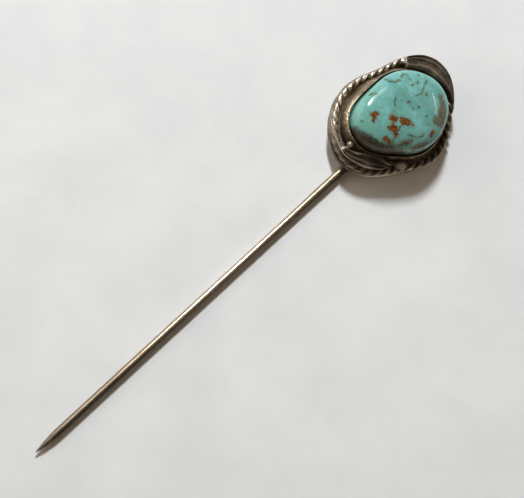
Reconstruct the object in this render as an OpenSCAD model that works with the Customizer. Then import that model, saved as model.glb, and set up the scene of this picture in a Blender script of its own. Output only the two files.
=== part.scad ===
// Stick pin: a domed freeform stone in a bezel, framed by twisted wire and two stamped
// leaves, soldered to the end of a long round stem with a ground point.
// +Y runs from the point to the top of the head, +Z away from the table.
// The origin is on the stem's axis where the free stem meets the head's rim.

/* [Stem] */
// Diameter of the stem wire
stem_d = 1.0; // [0.8:0.1:1.2]
// Free length of the stem, from the head's rim to the tip of the point
stem_length = 55.2; // [45:0.1:65]
// Length of the ground point
point_length = 4.0; // [3:0.5:6]
// Diameter left at the very tip
tip_d = 0.12; // [0.08:0.02:0.2]
// Length of the flattened stem end under the head
tang_length = 13; // [8:0.5:14]

/* [Head] */
// Mean radius of the head, at the outside of the twisted wire
head_r = 8.5; // [8.3:0.1:8.9]
// How much longer than wide the head is
head_oval = 1.25; // [0.9:0.05:1.3]
// Direction of the head's long way, from +X
head_oval_dir = 81; // [75:1:90]
// How far the head's centre stands to the side of the stem
head_x = -0.6; // [-1:0.1:0]
// Distance from the origin to the head's centre
head_y = 10.05; // [10:0.05:10.5]
// Thickness of the backplate
plate_t = 0.7; // [0.5:0.1:0.9]
// How far the backplate stands out past the twisted wire
plate_rim = 0.05; // [0:0.05:0.2]

/* [Stone] */
// Mean radius of the stone
stone_r = 6.2; // [5.8:0.1:6.3]
// How much longer than wide the stone is
stone_oval = 0.83; // [0.6:0.05:0.9]
// Direction of the stone's long way, from +X
stone_oval_dir = 73; // [70:1:80]
// Height of the dome above the bezel's lip
dome_h = 2.3; // [1.6:0.1:3.4]
// How far the dome's summit leans towards the stem
dome_lean = 1.9; // [0:0.1:2]
// Thickness of the card cushion under the stone
shim_t = 0.4; // [0.3:0.1:0.6]

/* [Bezel] */
// Thickness of the bezel strip
bezel_t = 0.36; // [0.3:0.02:0.4]
// Height of the bezel from the backplate to its lip
bezel_h = 2.4; // [2.2:0.1:3]

/* [Twisted wire] */
// Diameter of each of the two twisted wires
wire_d = 0.58; // [0.5:0.02:0.66]
// Turns of twist in the whole loop
wire_turns = 21; // [18:1:23]

/* [Leaves] */
// Thickness of a leaf at its edges
leaf_edge_t = 0.35; // [0.25:0.05:0.5]
// Height of a leaf's ribs above its edges
leaf_rib_h = 0.35; // [0.2:0.05:0.5]

/* [Hidden] */
$fn = 64;

stem_r = stem_d / 2;
// Gap left between soldered pieces
gap = 0.02;
// The stem's end is an eight-sided bar, slightly slimmer than the round stem
tang_r = stem_r * 0.995;
tang_flat = tang_r * cos(180 / 8);
plate_bottom = tang_flat + gap;
plate_top = plate_bottom + plate_t;
deck = plate_top + gap;

// Depths of the three- and four-cornered swells of the two freeform outlines, each with
// the direction of one of its corners
head_corners = [[0.37, -7], [0.36, 8]];
stone_corners = [[0.26, 8], [0.18, -18]];
// The stone sits a little above the head's centre
stone_dy = 0.27;

function freeform(a, r, oval, dir, corners) =
    r + oval * cos(2 * (a - dir))
      + corners[0][0] * cos(3 * (a - corners[0][1]))
      + corners[1][0] * cos(4 * (a - corners[1][1]));
function head_edge(a) = freeform(a, head_r, head_oval, head_oval_dir, head_corners);
function stone_edge(a) = freeform(a, stone_r, stone_oval, stone_oval_dir, stone_corners);
function about(a, r, dy = 0) = [head_x + r * cos(a), head_y + dy + r * sin(a)];
function on_head(a, inset) = about(a, head_edge(a) - inset);
function on_stone(a, grow) = about(a, stone_edge(a) + grow, stone_dy);

outline_steps = 96;
outline_angles = [for (i = [0:outline_steps - 1]) i * 360 / outline_steps];

// The head leans on the table with the edge of its backplate, so its roll about the
// stem is where that edge comes down as low as the stem
plate_reach = max([for (a = outline_angles) on_head(a, -plate_rim)[0]]);
reach_r = norm([plate_reach, plate_bottom]);
head_roll = atan2(plate_bottom, plate_reach) + asin((stem_r - gap) / reach_r);

// Bezel, from the backplate up: a straight foot, then a lip pressed in over the stone
bezel_out = 0.62;
bezel_foot_h = bezel_h * 0.45;
bezel_seat = bezel_out - bezel_t;
stone_gap = 0.03;
stone_bottom = deck + shim_t + gap;
lip_z = deck + bezel_h;

wire_r = wire_d / 2;
wire_swing = wire_r + gap / 2;
rope_r = wire_r + wire_swing;
rope_z = deck + rope_r;
rope_top = deck + 2 * rope_r;
rope_rings = wire_turns * 9;
wire_sides = 8;

leaf_bottom = rope_top + gap;

// Triangles of a skin over a grid of points: rows are stations, columns run around
function skin(rows, cols, wrap_rows) = [
    for (i = [0:rows - (wrap_rows ? 1 : 2)], j = [0:cols - 1], half = [0, 1])
        let (a = i * cols + j,
             b = i * cols + (j + 1) % cols,
             c = ((i + 1) % rows) * cols + j,
             d = ((i + 1) % rows) * cols + (j + 1) % cols)
        half == 0 ? [a, b, d] : [a, d, c]];
function first_cap(cols) = [for (j = [1:cols - 2]) [0, j + 1, j]];
function last_cap(rows, cols) = [for (j = [1:cols - 2]) [0, j, j + 1] + (rows - 1) * cols * [1, 1, 1]];

// A ring: closed sections, one at each station, around a closed loop
module closed_ring(sections) {
    rows = len(sections);
    cols = len(sections[0]);
    polyhedron([for (s = sections) each s], skin(rows, cols, true));
}

// A bar: closed sections from one flat end to the other
module loft(sections) {
    rows = len(sections);
    cols = len(sections[0]);
    faces = concat(skin(rows, cols, false), first_cap(cols), last_cap(rows, cols));
    polyhedron([for (s = sections) each s], faces);
}

module rolled() {
    rotate([0, head_roll, 0])
        children();
}

module backplate() {
    color("#6b6259") rolled()
        translate([0, 0, plate_bottom])
            linear_extrude(plate_t)
                polygon([for (a = outline_angles) on_head(a, -plate_rim)]);
}

// Section of the bezel strip as [growth past the stone's edge, height]
bezel_section = [
    [bezel_seat, deck],
    [bezel_seat, deck + bezel_foot_h],
    [stone_gap + 0.08, lip_z - 0.3],
    [stone_gap, lip_z],
    [stone_gap + bezel_t * 0.6, lip_z],
    [bezel_out - 0.1, lip_z - 0.75],
    [bezel_out, deck + bezel_foot_h],
    [bezel_out, deck]];

module bezel() {
    color("#8c8274") rolled()
        closed_ring([for (a = outline_angles)
            [for (p = bezel_section) concat(on_stone(a, p[0]), [p[1]])]]);
}

module stone_shim() {
    color("#b9a888") rolled()
        translate([0, 0, deck])
            linear_extrude(shim_t)
                polygon([for (a = outline_angles) on_stone(a, bezel_seat - 2 * stone_gap)]);
}

// Rings of the stone as [share of its radius, height], from the flat back to near the
// summit. A lower squareness makes the dome fuller; 1 makes it elliptical.
stone_dome_steps = 9;
stone_flare = 0.015;
dome_squareness = 0.68;
function dome_ring(t) =
    [pow(cos(t * 90), dome_squareness), lip_z + dome_h * pow(sin(t * 90), dome_squareness)];
stone_rings = concat(
    [[1, stone_bottom], [1 + stone_flare, stone_bottom + 0.3], [1, lip_z - 0.5]],
    [for (i = [0:stone_dome_steps - 1]) dome_ring(i / stone_dome_steps)]);

module stone() {
    ring_size = outline_steps;
    rows = len(stone_rings);
    rings = [for (r = stone_rings, a = outline_angles)
        concat(about(a, r[0] * (stone_edge(a) - stone_gap), stone_dy - dome_lean * (1 - r[0])), [r[1]])];
    back = rows * ring_size;
    apex = back + 1;
    ends = [concat(about(0, 0, stone_dy), [stone_bottom]),
            concat(about(0, 0, stone_dy - dome_lean), [lip_z + dome_h])];
    faces = concat(
        skin(rows, ring_size, false),
        [for (j = [0:ring_size - 1]) [back, (j + 1) % ring_size, j]],
        [for (j = [0:ring_size - 1])
            [apex, (rows - 1) * ring_size + j, (rows - 1) * ring_size + (j + 1) % ring_size]]);
    color("#72bdb4") rolled()
        polyhedron(concat(rings, ends), faces);
}

// The twisted wire's path, with its length so far, so that the twist is even along it
path_steps = 180;
function path_point(i) = on_head(i * 360 / path_steps, rope_r);
function path_step(i) = norm(path_point(i + 1) - path_point(i));
path_lengths = [for (i = 0, s = 0; i <= path_steps; s = s + path_step(i), i = i + 1) s];
path_angles = [for (i = [0:path_steps])
    [path_lengths[i] / path_lengths[path_steps], i * 360 / path_steps]];

// The twisted wire is filed flat where the bezel's foot crowds it
function off_bezel(p) =
    let (from = p - about(0, 0, stone_dy),
         a = atan2(from[1], from[0]),
         clear = stone_edge(a) + bezel_out + gap)
    norm(from) < clear ? about(a, clear, stone_dy) : p;

// Frame of the twisted wire at share t of its loop: [centre, outward direction]
function rope_frame(t) =
    let (a = lookup(t, path_angles),
         ahead = on_head(a + 1, rope_r) - on_head(a - 1, rope_r))
    [on_head(a, rope_r), [ahead[1], -ahead[0]] / norm(ahead)];
function strand_point(t, swing, around) =
    let (f = rope_frame(t), out = swing[0] + around[0], up = swing[1] + around[1])
    concat(off_bezel(f[0] + f[1] * out), [rope_z + up]);
function strand_section(t, start) =
    let (turn = start + 360 * wire_turns * t)
    [for (j = [0:wire_sides - 1])
        strand_point(t, wire_swing * [cos(turn), sin(turn)],
                     wire_r * [cos(turn - j * 360 / wire_sides), sin(turn - j * 360 / wire_sides)])];

module rope_strand(start) {
    color("#a39a8b") rolled()
        closed_ring([for (i = [0:rope_rings - 1]) strand_section(i / rope_rings, start)]);
}

module rope_strand_a() {
    rope_strand(0);
}

module rope_strand_b() {
    rope_strand(180);
}

// One section of a leaf at angle a: it rises from its outer edge on the twisted wire to
// its inner edge at the bezel, with ribs between. full is 0 at the leaf's ends and 1
// where it is whole.
leaf_ribs = 2;
leaf_across = 8;
leaf_rise = 0.45;
function leaf_section(a, inset, full) =
    let (inner = on_stone(a, bezel_out + gap),
         outer = on_head(a, inset),
         near = outer + (inner - outer) * full)
    concat(
        [for (j = [0:leaf_across])
            let (x = j / leaf_across, rib = abs(sin(x * 180 * leaf_ribs)))
            concat(outer + (near - outer) * x,
                   [leaf_bottom + leaf_edge_t + full * (leaf_rise * x + leaf_rib_h * rib)])],
        [concat(near, [leaf_bottom]), concat(outer, [leaf_bottom])]);

leaf_steps = 22;
leaf_end_share = 0.12;
// Fullness along a leaf: quick at its rounded end, slow at its drawn-out end
function fullness(t, quick, slow) =
    leaf_end_share + (1 - leaf_end_share) * pow(sin(180 * pow(t, quick)), slow);

upper_left = 131;
upper_right = 58;
upper_inset = 0.1;
module leaf_upper() {
    color("#7d7467") rolled()
        loft([for (i = [0:leaf_steps])
            let (t = i / leaf_steps)
            leaf_section(upper_left + (upper_right - upper_left) * t, upper_inset,
                         fullness(t, 0.75, 0.5))]);
}

// The lower leaf runs out into a thin stalk that lies along the twisted wire
lower_right = -50;
lower_left = -127;
stalk_share = 0.35;
function lower_inset(t) = 0.3 + 0.5 * sin(180 * t);
module leaf_lower() {
    color("#85796a") rolled()
        loft([for (i = [0:leaf_steps])
            let (t = i / leaf_steps,
                 blade = min(1, t / (1 - stalk_share)))
            leaf_section(lower_right + (lower_left - lower_right) * t, lower_inset(t),
                         fullness(blade, 0.8, 0.6))]);
}

// A teardrop: a half ball drawn out to a point
drop_r = 0.6;
drop_angle = -38;
drop_length = 1.6;
drop_inset = 0.8;
module raindrop() {
    drop_place = on_head(drop_angle, drop_inset);
    color("#9a8d7c") rolled()
        translate([drop_place[0], drop_place[1], leaf_bottom])
            rotate([0, 0, drop_angle - 90])
                intersection() {
                    hull() {
                        sphere(drop_r, $fn = 28);
                        translate([drop_length - drop_r, 0, 0])
                            sphere(drop_r * 0.2, $fn = 16);
                    }
                    translate([-drop_length, -drop_length, 0])
                        cube([3 * drop_length, 2 * drop_length, drop_length]);
                }
}

bead_r = 0.42;
bead_angle = -101;
module shot_bead() {
    bead_place = on_stone(bead_angle, bezel_out + bead_r + gap);
    color("#a89c88") rolled()
        translate([bead_place[0], bead_place[1], lip_z - bead_r])
            sphere(bead_r);
}

module stem() {
    taper_start = stem_length - point_length;
    color("#a89d86") {
        rotate([90, 0, 0])
            cylinder(h = taper_start, r = stem_r);
        translate([0, -taper_start, 0])
            rotate([90, 0, 0])
                cylinder(h = point_length, r1 = stem_r, r2 = tip_d / 2);
        rolled()
            rotate([-90, 180 / 8, 0])
                cylinder(h = tang_length, r = tang_r, $fn = 8);
    }
}

// Solder drawn along both sides of the stem's end, with a hollow fillet
fillet_r = 0.5;
fillet_steps = 6;
module stem_solder() {
    side = tang_flat + gap;
    fillet = concat(
        [[side, plate_bottom - gap]],
        [for (i = [0:fillet_steps])
            let (a = 90 * i / fillet_steps)
            [side + fillet_r * (1 - sin(a)), plate_bottom - gap - fillet_r * (1 - cos(a))]]);
    color("#5d554c") rolled()
        for (flip = [0, 1])
            mirror([flip, 0, 0])
                translate([0, tang_length, 0])
                    rotate([90, 0, 0])
                        linear_extrude(tang_length - 0.3)
                            polygon(fillet);
}

backplate();
bezel();
stone_shim();
stone();
rope_strand_a();
rope_strand_b();
leaf_upper();
leaf_lower();
raindrop();
shot_bead();
stem();
stem_solder();
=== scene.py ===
"""Looks of the stick pin: a turquoise cabochon in oxidised silver on a bare wire stem.

Every piece of the head is built in the head's own plane, in millimetres: u across, v along
the stem and h up from the stem's axis. The head's roll, its centre, its outlines and its
heights are read from the CAD nodes.
"""
from math import atan2, cos, pi, radians, sin, tau
import bmesh
import bpy
import numpy as np
from mathutils import Matrix, Vector, noise


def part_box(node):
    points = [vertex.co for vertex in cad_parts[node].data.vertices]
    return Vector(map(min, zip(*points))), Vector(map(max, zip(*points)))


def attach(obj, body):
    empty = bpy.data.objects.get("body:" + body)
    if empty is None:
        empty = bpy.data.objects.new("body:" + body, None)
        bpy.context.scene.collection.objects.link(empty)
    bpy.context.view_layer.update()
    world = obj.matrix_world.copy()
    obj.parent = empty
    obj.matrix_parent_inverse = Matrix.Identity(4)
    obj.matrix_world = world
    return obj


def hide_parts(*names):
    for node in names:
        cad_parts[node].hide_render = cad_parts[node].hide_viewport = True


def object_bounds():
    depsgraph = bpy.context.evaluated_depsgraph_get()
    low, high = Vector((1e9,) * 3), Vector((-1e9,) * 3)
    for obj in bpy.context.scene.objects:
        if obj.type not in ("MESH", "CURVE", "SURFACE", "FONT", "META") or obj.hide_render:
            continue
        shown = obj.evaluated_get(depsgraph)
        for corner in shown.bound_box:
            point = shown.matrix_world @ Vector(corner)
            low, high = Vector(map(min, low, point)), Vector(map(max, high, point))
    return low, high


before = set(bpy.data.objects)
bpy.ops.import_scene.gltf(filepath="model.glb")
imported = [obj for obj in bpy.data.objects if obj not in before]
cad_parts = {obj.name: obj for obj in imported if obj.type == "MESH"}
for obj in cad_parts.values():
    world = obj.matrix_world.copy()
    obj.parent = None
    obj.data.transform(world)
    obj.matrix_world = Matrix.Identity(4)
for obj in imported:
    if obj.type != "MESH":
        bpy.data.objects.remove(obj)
cad_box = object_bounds()
MM = 0.001
# CAD points this near in height count as level, in millimetres
SLACK = 0.02
# The least gap between two pieces
CLEAR = 0.02


# ---------------------------------------------------------------- the head's own plane

def node_points(name):
    """A CAD node's vertices, in millimetres, in the row frame."""
    return np.array([v.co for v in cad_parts[name].data.vertices]) / MM


def head_roll():
    """The head's roll about the stem, from the direction in which its plate is thinnest."""
    spread = np.cov(node_points("backplate").T)
    thin = np.linalg.eigh(spread)[1][:, 0]
    thin = thin * np.sign(thin[2])
    return atan2(thin[0], thin[2])


ROLL = head_roll()


def to_head(points):
    """Row frame to head plane, both in millimetres."""
    x, y, z = points.T
    return np.stack([x * cos(ROLL) - z * sin(ROLL), y, x * sin(ROLL) + z * cos(ROLL)], -1)


def from_head(points):
    """Head plane in millimetres to row frame in metres."""
    u, v, h = np.moveaxis(np.asarray(points, float), -1, 0)
    x = u * cos(ROLL) + h * sin(ROLL)
    z = h * cos(ROLL) - u * sin(ROLL)
    return np.stack([x, v, z], -1) * MM


def heights(name):
    """Lowest and highest h of a CAD node."""
    h = to_head(node_points(name))[:, 2]
    return h.min(), h.max()


# The stone's centre is the middle of its flat back, and its summit leans off it
stone_cad = to_head(node_points("stone"))
back = stone_cad[stone_cad[:, 2] < stone_cad[:, 2].min() + SLACK][:, :2]
CENTRE = back[np.linalg.norm(back - back.mean(axis=0), axis=1).argmin()]
SUMMIT = stone_cad[stone_cad[:, 2].argmax()][:2] - CENTRE


def polar(points):
    """Angle and radius of head-plane points about the stone's centre."""
    d = points[:, :2] - CENTRE
    return np.arctan2(d[:, 1], d[:, 0]), np.hypot(d[:, 0], d[:, 1])


class Outline:
    """A closed freeform curve round the stone's centre, as a smooth radius by angle."""

    WAVES = 7

    def __init__(self, points):
        angle, radius = polar(points)
        self.terms = np.linalg.lstsq(self.waves(angle), radius, rcond=None)[0]

    def waves(self, angle):
        """The constant, cosine and sine terms at each angle."""
        rows = [np.ones_like(angle)]
        for k in range(1, self.WAVES + 1):
            rows += [np.cos(k * angle), np.sin(k * angle)]
        return np.stack(rows, -1)

    def radius(self, angle):
        return self.waves(np.asarray(angle, float)) @ self.terms

    def at(self, angle, grow=0.0):
        """Points on the curve, grown outwards by grow millimetres."""
        angle = np.asarray(angle, float)
        r = self.radius(angle) + grow
        return np.stack([CENTRE[0] + r * np.cos(angle), CENTRE[1] + r * np.sin(angle)], -1)


def rim_at(points, h):
    """The points at one height, without any near the centre."""
    level = points[np.abs(points[:, 2] - h) < SLACK]
    return level[polar(level)[1] > 1]


plate_bottom, plate_top = heights("backplate")
stone_bottom, stone_top = heights("stone")
deck, lip = heights("bezel")
rope_low, rope_high = heights("rope_strand_a")
plate_cad = to_head(node_points("backplate"))
strands_cad = to_head(np.vstack([node_points("rope_strand_a"), node_points("rope_strand_b")]))
plate_line = Outline(rim_at(plate_cad, plate_top))
stone_line = Outline(rim_at(stone_cad, stone_bottom))
# The strands' highest points lie over the middle of the twisted wire
CREST_DEPTH = 0.08
rope_line = Outline(strands_cad[strands_cad[:, 2] > rope_high - CREST_DEPTH])
bezel_cad = rim_at(to_head(node_points("bezel")), deck)
bezel_angle, bezel_radius = polar(bezel_cad)
BEZEL_OUT = (bezel_radius - stone_line.radius(bezel_angle)).max()
ROPE_R = (rope_high - rope_low) / 2
ROPE_H = (rope_high + rope_low) / 2


# ---------------------------------------------------------------- meshes

def ripple(points, size, depth, seed=0.0):
    """A smooth unevenness of the given wavelength and depth, one value a point."""
    flat = np.asarray(points, float).reshape(-1, 3) / size + seed
    values = [noise.noise(Vector(p)) for p in flat]
    return depth * np.array(values).reshape(np.asarray(points).shape[:-1])


def make_piece(name, verts, faces, nodes, wear_and_painted_light=None):
    """A smooth-shaded closed mesh that rides on the root body and stands for CAD nodes."""
    mesh = bpy.data.meshes.new(name)
    mesh.from_pydata([tuple(v) for v in verts], [], faces)
    mesh.update()
    bm = bmesh.new()
    bm.from_mesh(mesh)
    bmesh.ops.recalc_face_normals(bm, faces=bm.faces)
    bm.to_mesh(mesh)
    bm.free()
    mesh.shade_smooth()
    if wear_and_painted_light is not None:
        layer = mesh.attributes.new("wear_and_painted_light", "FLOAT", "POINT")
        layer.data.foreach_set("value", np.clip(wear_and_painted_light, 0, 1).astype(np.float32).ravel())
    piece = bpy.data.objects.new(name, mesh)
    bpy.context.scene.collection.objects.link(piece)
    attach(piece, "root")
    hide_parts(*nodes)
    return piece


def quads(rows, cols, wrap_rows):
    """Faces of a grid whose columns run round."""
    faces = []
    for i in range(rows if wrap_rows else rows - 1):
        k = (i + 1) % rows
        for j in range(cols):
            m = (j + 1) % cols
            faces.append((i * cols + j, i * cols + m, k * cols + m, k * cols + j))
    return faces


def ring_mesh(grid):
    """Sections round a closed loop."""
    rows, cols = grid.shape[:2]
    return grid.reshape(-1, 3), quads(rows, cols, True)


def bar_mesh(grid):
    """Sections from one end to the other, closed by a fan at each end."""
    rows, cols = grid.shape[:2]
    ends = [grid[0].mean(axis=0), grid[-1].mean(axis=0)]
    verts = np.vstack([grid.reshape(-1, 3), ends])
    faces = quads(rows, cols, False)
    last = (rows - 1) * cols
    for j in range(cols):
        m = (j + 1) % cols
        faces.append((rows * cols, j, m))
        faces.append((rows * cols + 1, last + m, last + j))
    return verts, faces


def bar_wear_and_painted_light(wear_and_painted_light):
    """Wear and painted light of a bar's vertices, its two end points included."""
    return np.append(wear_and_painted_light.ravel(), [wear_and_painted_light[0].mean(), wear_and_painted_light[-1].mean()])


def refine(piece, levels):
    """Subdivision surface, applied when the mesh is evaluated."""
    modifier = piece.modifiers.new("Smooth", "SUBSURF")
    modifier.levels = levels
    modifier.render_levels = levels


def smooth_step(low, high, x):
    """0 on low's side and 1 on high's side, with a smooth rise between them."""
    t = np.clip((x - low) / (high - low), 0, 1)
    return t * t * (3 - 2 * t)


def bump(x, middle, width):
    """A smooth hill of height 1 at middle."""
    return np.exp(-((x - middle) / width) ** 2)


def angle_gap(a, b):
    """Signed difference of two angles, from -pi to pi."""
    return (a - b + pi) % tau - pi


def swell(angle, stretch):
    """A smooth hill over a stretch given as its middle and half width, in degrees."""
    middle, width = stretch
    return bump(angle_gap(angle, radians(middle)), 0, radians(width))


def plateau(angle, stretch):
    """1 over a stretch given as its middle and how far off the fall from 1 begins and ends,
    in degrees."""
    middle, near, far = stretch
    return smooth_step(radians(far), radians(near), np.abs(angle_gap(angle, radians(middle))))


# ---------------------------------------------------------------- pieces

# Stretches of the head by angle about the stone's centre, in degrees from +u towards +v, for
# swell or plateau. The stem leaves at -90, and the head's left, with the stem below, is 180
# Stretch of the plate's edge that is painted bright: a painted highlight
PAINTED_EDGE_HIGHLIGHT = (-58, 16)
WORN_EDGE = (0, 40)
OPEN_LIP = (-32, 66)
# Stretches where highlights are painted on the bezel's lip: on the left, where it is also burnished, and
# along its top on the right
BRIGHT_LIP = (-133, 20)
RIGHT_LIP_HIGHLIGHT = (28, 48)
SLOPED_WALL = (-160, 50)
THIN_WIRE = (172, 40, 75)
SMOOTHED_WIRE = (-178, 45, 85)
SMOOTHED_BELOW = (-112, 52)
# Stretch of the twisted wire whose crests are painted bright: a painted highlight
CREST_HIGHLIGHT_WIRE = (175, 50, 80)
# Stretch of the twisted wire whose outer ridges are painted bright: a painted reflection
RIM_REFLECTION_WIRE = (-20, 60)
LEANING_LEAF = (-76, 13)

PLATE_STEPS = 240
# Rings of the plate's flat faces, as shares of the way from its centre to its edge
PLATE_RINGS = (0.12, 0.3, 0.5, 0.7, 0.85, 0.95)


def build_backplate():
    """Sheet with a rounded edge, a highlight painted bright along one stretch of that edge, and a faintly
    beaten face and back."""
    angle = np.linspace(0, tau, PLATE_STEPS, endpoint=False)
    edge_r = (plate_top - plate_bottom) * 0.32
    middle = (plate_top + plate_bottom) / 2
    arc = np.linspace(0, pi / 2, 5)
    inset = edge_r * (1 - np.sin(arc))
    lower = [(0, share, plate_bottom) for share in PLATE_RINGS]
    lower += [(i, 1, plate_bottom + edge_r * (1 - cos(a))) for i, a in zip(inset, arc)]
    upper = [(i, share, plate_top + plate_bottom - h) for i, share, h in reversed(lower)]
    rings = []
    for inward, share, h in lower + upper:
        flat = CENTRE + (plate_line.at(angle, -inward) - CENTRE) * share
        rings.append(np.column_stack([flat, np.full(PLATE_STEPS, h)]))
    rings = np.array(rings)
    dent = np.abs(ripple(rings, size=1.6, depth=0.05, seed=3.1))
    rings[..., 2] += np.where(rings[..., 2] > middle, -dent, dent)
    pull = np.abs(ripple(rings, size=2.2, depth=0.06, seed=8.0))
    toward = CENTRE - rings[..., :2]
    toward /= np.linalg.norm(toward, axis=-1, keepdims=True)
    rings[..., :2] += toward * pull[..., None]
    at_edge = np.array([share == 1 for _, share, _ in lower + upper])
    # Painted highlight: one stretch of the edge is painted bright, on top of light wear on the edge's right
    # side
    edge_wear_and_highlight = 0.22 + 0.95 * swell(angle, PAINTED_EDGE_HIGHLIGHT) + 0.25 * swell(angle, WORN_EDGE)
    wear_and_painted_light = np.where(at_edge[:, None], edge_wear_and_highlight[None, :], 0.42)
    verts, faces = bar_mesh(rings)
    return make_piece("Backplate", from_head(verts), faces, ["backplate"],
                      bar_wear_and_painted_light(wear_and_painted_light))


BEZEL_STEPS = 360
BEZEL_THICK = 0.34
# Radius of the circle along which the strip's unevenness is drawn
UNEVEN_R = 4


def rope_size(angle):
    """Radius of the twisted wire: it is drawn thinner round the loop's left."""
    return ROPE_R * (1 - 0.24 * plateau(angle, THIN_WIRE))


def rope_room(angle):
    """How far from the stone's edge the twisted wire's inner side runs."""
    axis = rope_line.radius(angle) + ROPE_R - rope_size(angle)
    return axis - rope_size(angle) - stone_line.radius(angle) - CLEAR


def build_bezel():
    """Strip with a straight foot, a wall that slopes on the left, and a lip burnished over
    the stone, less so on the open side."""
    angle = np.linspace(0, tau, BEZEL_STEPS, endpoint=False)
    circle = UNEVEN_R * np.column_stack([np.cos(angle), np.sin(angle), angle * 0])
    opened = swell(angle, OPEN_LIP)
    bright = swell(angle, BRIGHT_LIP)
    right_lip_highlight = swell(angle, RIGHT_LIP_HIGHLIGHT)
    sloped = swell(angle, SLOPED_WALL)
    wander = ripple(circle, size=1.3, depth=0.08, seed=1.0)
    tool_marks = ripple(circle, size=0.32, depth=0.08, seed=5.0) * (0.6 + 1.8 * bright)
    streaks = ripple(circle, size=0.22, depth=0.5, seed=9.0)
    streaks += ripple(circle, size=0.6, depth=0.4, seed=13.0)

    foot = BEZEL_OUT + np.minimum(0.42 * sloped, rope_room(angle) - BEZEL_OUT)
    foot_h = deck + (lip - deck) * (0.25 + 0.25 * opened)
    inner = np.minimum(BEZEL_OUT, foot) - BEZEL_THICK
    lip_in = 0.07 + 0.27 * opened + 0.17 * sloped
    lip_t = 0.13 + 0.36 * bright + ripple(circle, size=0.9, depth=0.06, seed=2.0)
    lip_out = lip_in + lip_t
    lip_h = lip - 0.1 - 0.3 * opened - 0.2 * bright + wander
    waist = (lip_out + foot) / 2 + 0.4 * wander
    # Painted highlights: the lip is painted bright on the left, along its top on the right and where it
    # stands open; the wall takes part of the left one
    lip_wear_and_highlight = 0.44 + 0.7 * bright + 0.4 * right_lip_highlight + 0.2 * opened
    wall_wear_and_highlight = 0.42 + 0.35 * bright - 0.24 * opened + 0.5 * streaks * (0.3 + sloped)

    level = angle * 0
    # Each point of the section: growth past the stone's edge, height, and wear with painted highlights
    section = [
        (inner, level + deck, level + 0.1),
        (inner, foot_h - 0.1, level),
        (lip_in + 0.12, lip_h - 0.75, level),
        (lip_in + 0.04, lip_h - 0.35, level),
        (lip_in, lip_h - 0.08, lip_wear_and_highlight * 0.6),
        (lip_in + 0.04, lip_h, lip_wear_and_highlight),
        (lip_in + lip_t * 0.7, lip_h + 0.01, lip_wear_and_highlight),
        (lip_out, lip_h - 0.09 + tool_marks * 0.5, (lip_wear_and_highlight + wall_wear_and_highlight) / 2 + 0.2 * bright),
        (lip_out + 0.08, lip_h - 0.38 + tool_marks, wall_wear_and_highlight + 0.4 * bright),
        (waist, lip_h * 0.6 + foot_h * 0.4 + tool_marks, wall_wear_and_highlight),
        (waist + 0.1, lip_h * 0.3 + foot_h * 0.7 + tool_marks * 0.5, wall_wear_and_highlight),
        (foot - 0.02, foot_h - 0.12, wall_wear_and_highlight - 0.08),
        (foot, level + deck + 0.3, wall_wear_and_highlight - 0.15),
        (foot, level + deck, level + 0.2)]
    grid = np.stack([np.column_stack([stone_line.at(angle, g), h]) for g, h, _ in section], 1)
    wear_and_painted_light = np.stack([w for _, _, w in section], 1)
    verts, faces = ring_mesh(grid)
    piece = make_piece("Bezel", from_head(verts), faces, ["bezel"], wear_and_painted_light)
    refine(piece, 2)
    return piece


STONE_STEPS = 240
DOME_RINGS = 60
# A lower squareness makes the dome fuller
DOME_SQUARENESS = 0.68


def build_stone():
    """Freeform cabochon: a flat back, a short girdle and a full dome that leans to the stem."""
    angle = np.linspace(0, tau, STONE_STEPS, endpoint=False)
    edge = stone_line.at(angle) - CENTRE
    # Rings as a share of the stone's outline and a height
    girdle = [(0.35, stone_bottom), (0.75, stone_bottom), (0.97, stone_bottom),
              (1.0, stone_bottom + 0.12), (1.012, stone_bottom + 0.5), (1.01, lip - 0.9),
              (1.0, lip - 0.45)]
    rise = stone_top - lip - CLEAR
    t = np.linspace(0, pi / 2, DOME_RINGS)[:-1]
    dome = zip(np.cos(t) ** DOME_SQUARENESS, lip + rise * np.sin(t) ** DOME_SQUARENESS)
    rings = [np.column_stack([CENTRE + edge * share, np.full(STONE_STEPS, h)])
             for share, h in girdle]
    rings += [np.column_stack([CENTRE + SUMMIT + (edge - SUMMIT) * share, np.full(STONE_STEPS, h)])
              for share, h in dome]
    rings = np.array(rings)
    above = smooth_step(lip, lip + 1, rings[..., 2])
    rings[..., 2] -= above * np.abs(ripple(rings, size=3.6, depth=0.03, seed=6.0))
    verts, faces = bar_mesh(rings)
    return make_piece("Stone", from_head(verts), faces, ["stone"])


ROPE_TURNS = 21
ROPE_RINGS = ROPE_TURNS * 26
LOBE = np.linspace(-pi / 2, pi / 2, 17)
# Points across a strand's flat core, as shares of its half width
CORE = np.linspace(1, -1, 7)[1:-1]


def rope_frames():
    """Evenly spaced places along the twisted wire: point, and direction outwards."""
    fine = np.linspace(0, tau, 4001)
    path = rope_line.at(fine)
    lengths = np.concatenate([[0], np.cumsum(np.linalg.norm(np.diff(path, axis=0), axis=1))])
    even = np.linspace(0, lengths[-1], ROPE_RINGS, endpoint=False)
    angle = np.interp(even, lengths, fine)
    step = radians(1)
    ahead = rope_line.at(angle + step) - rope_line.at(angle - step)
    out = np.column_stack([ahead[:, 1], -ahead[:, 0]])
    return rope_line.at(angle), out / np.linalg.norm(out, axis=1, keepdims=True)


def off_bezel(flat):
    """The wire is filed flat where the bezel's foot crowds it."""
    points = flat.reshape(-1, 2)
    angle, radius = polar(points)
    foot = np.clip(rope_room(angle), BEZEL_THICK, BEZEL_OUT)
    clear = np.maximum(radius, stone_line.radius(angle) + foot + CLEAR)
    return (CENTRE + (points - CENTRE) * (clear / radius)[:, None]).reshape(flat.shape)


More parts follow.
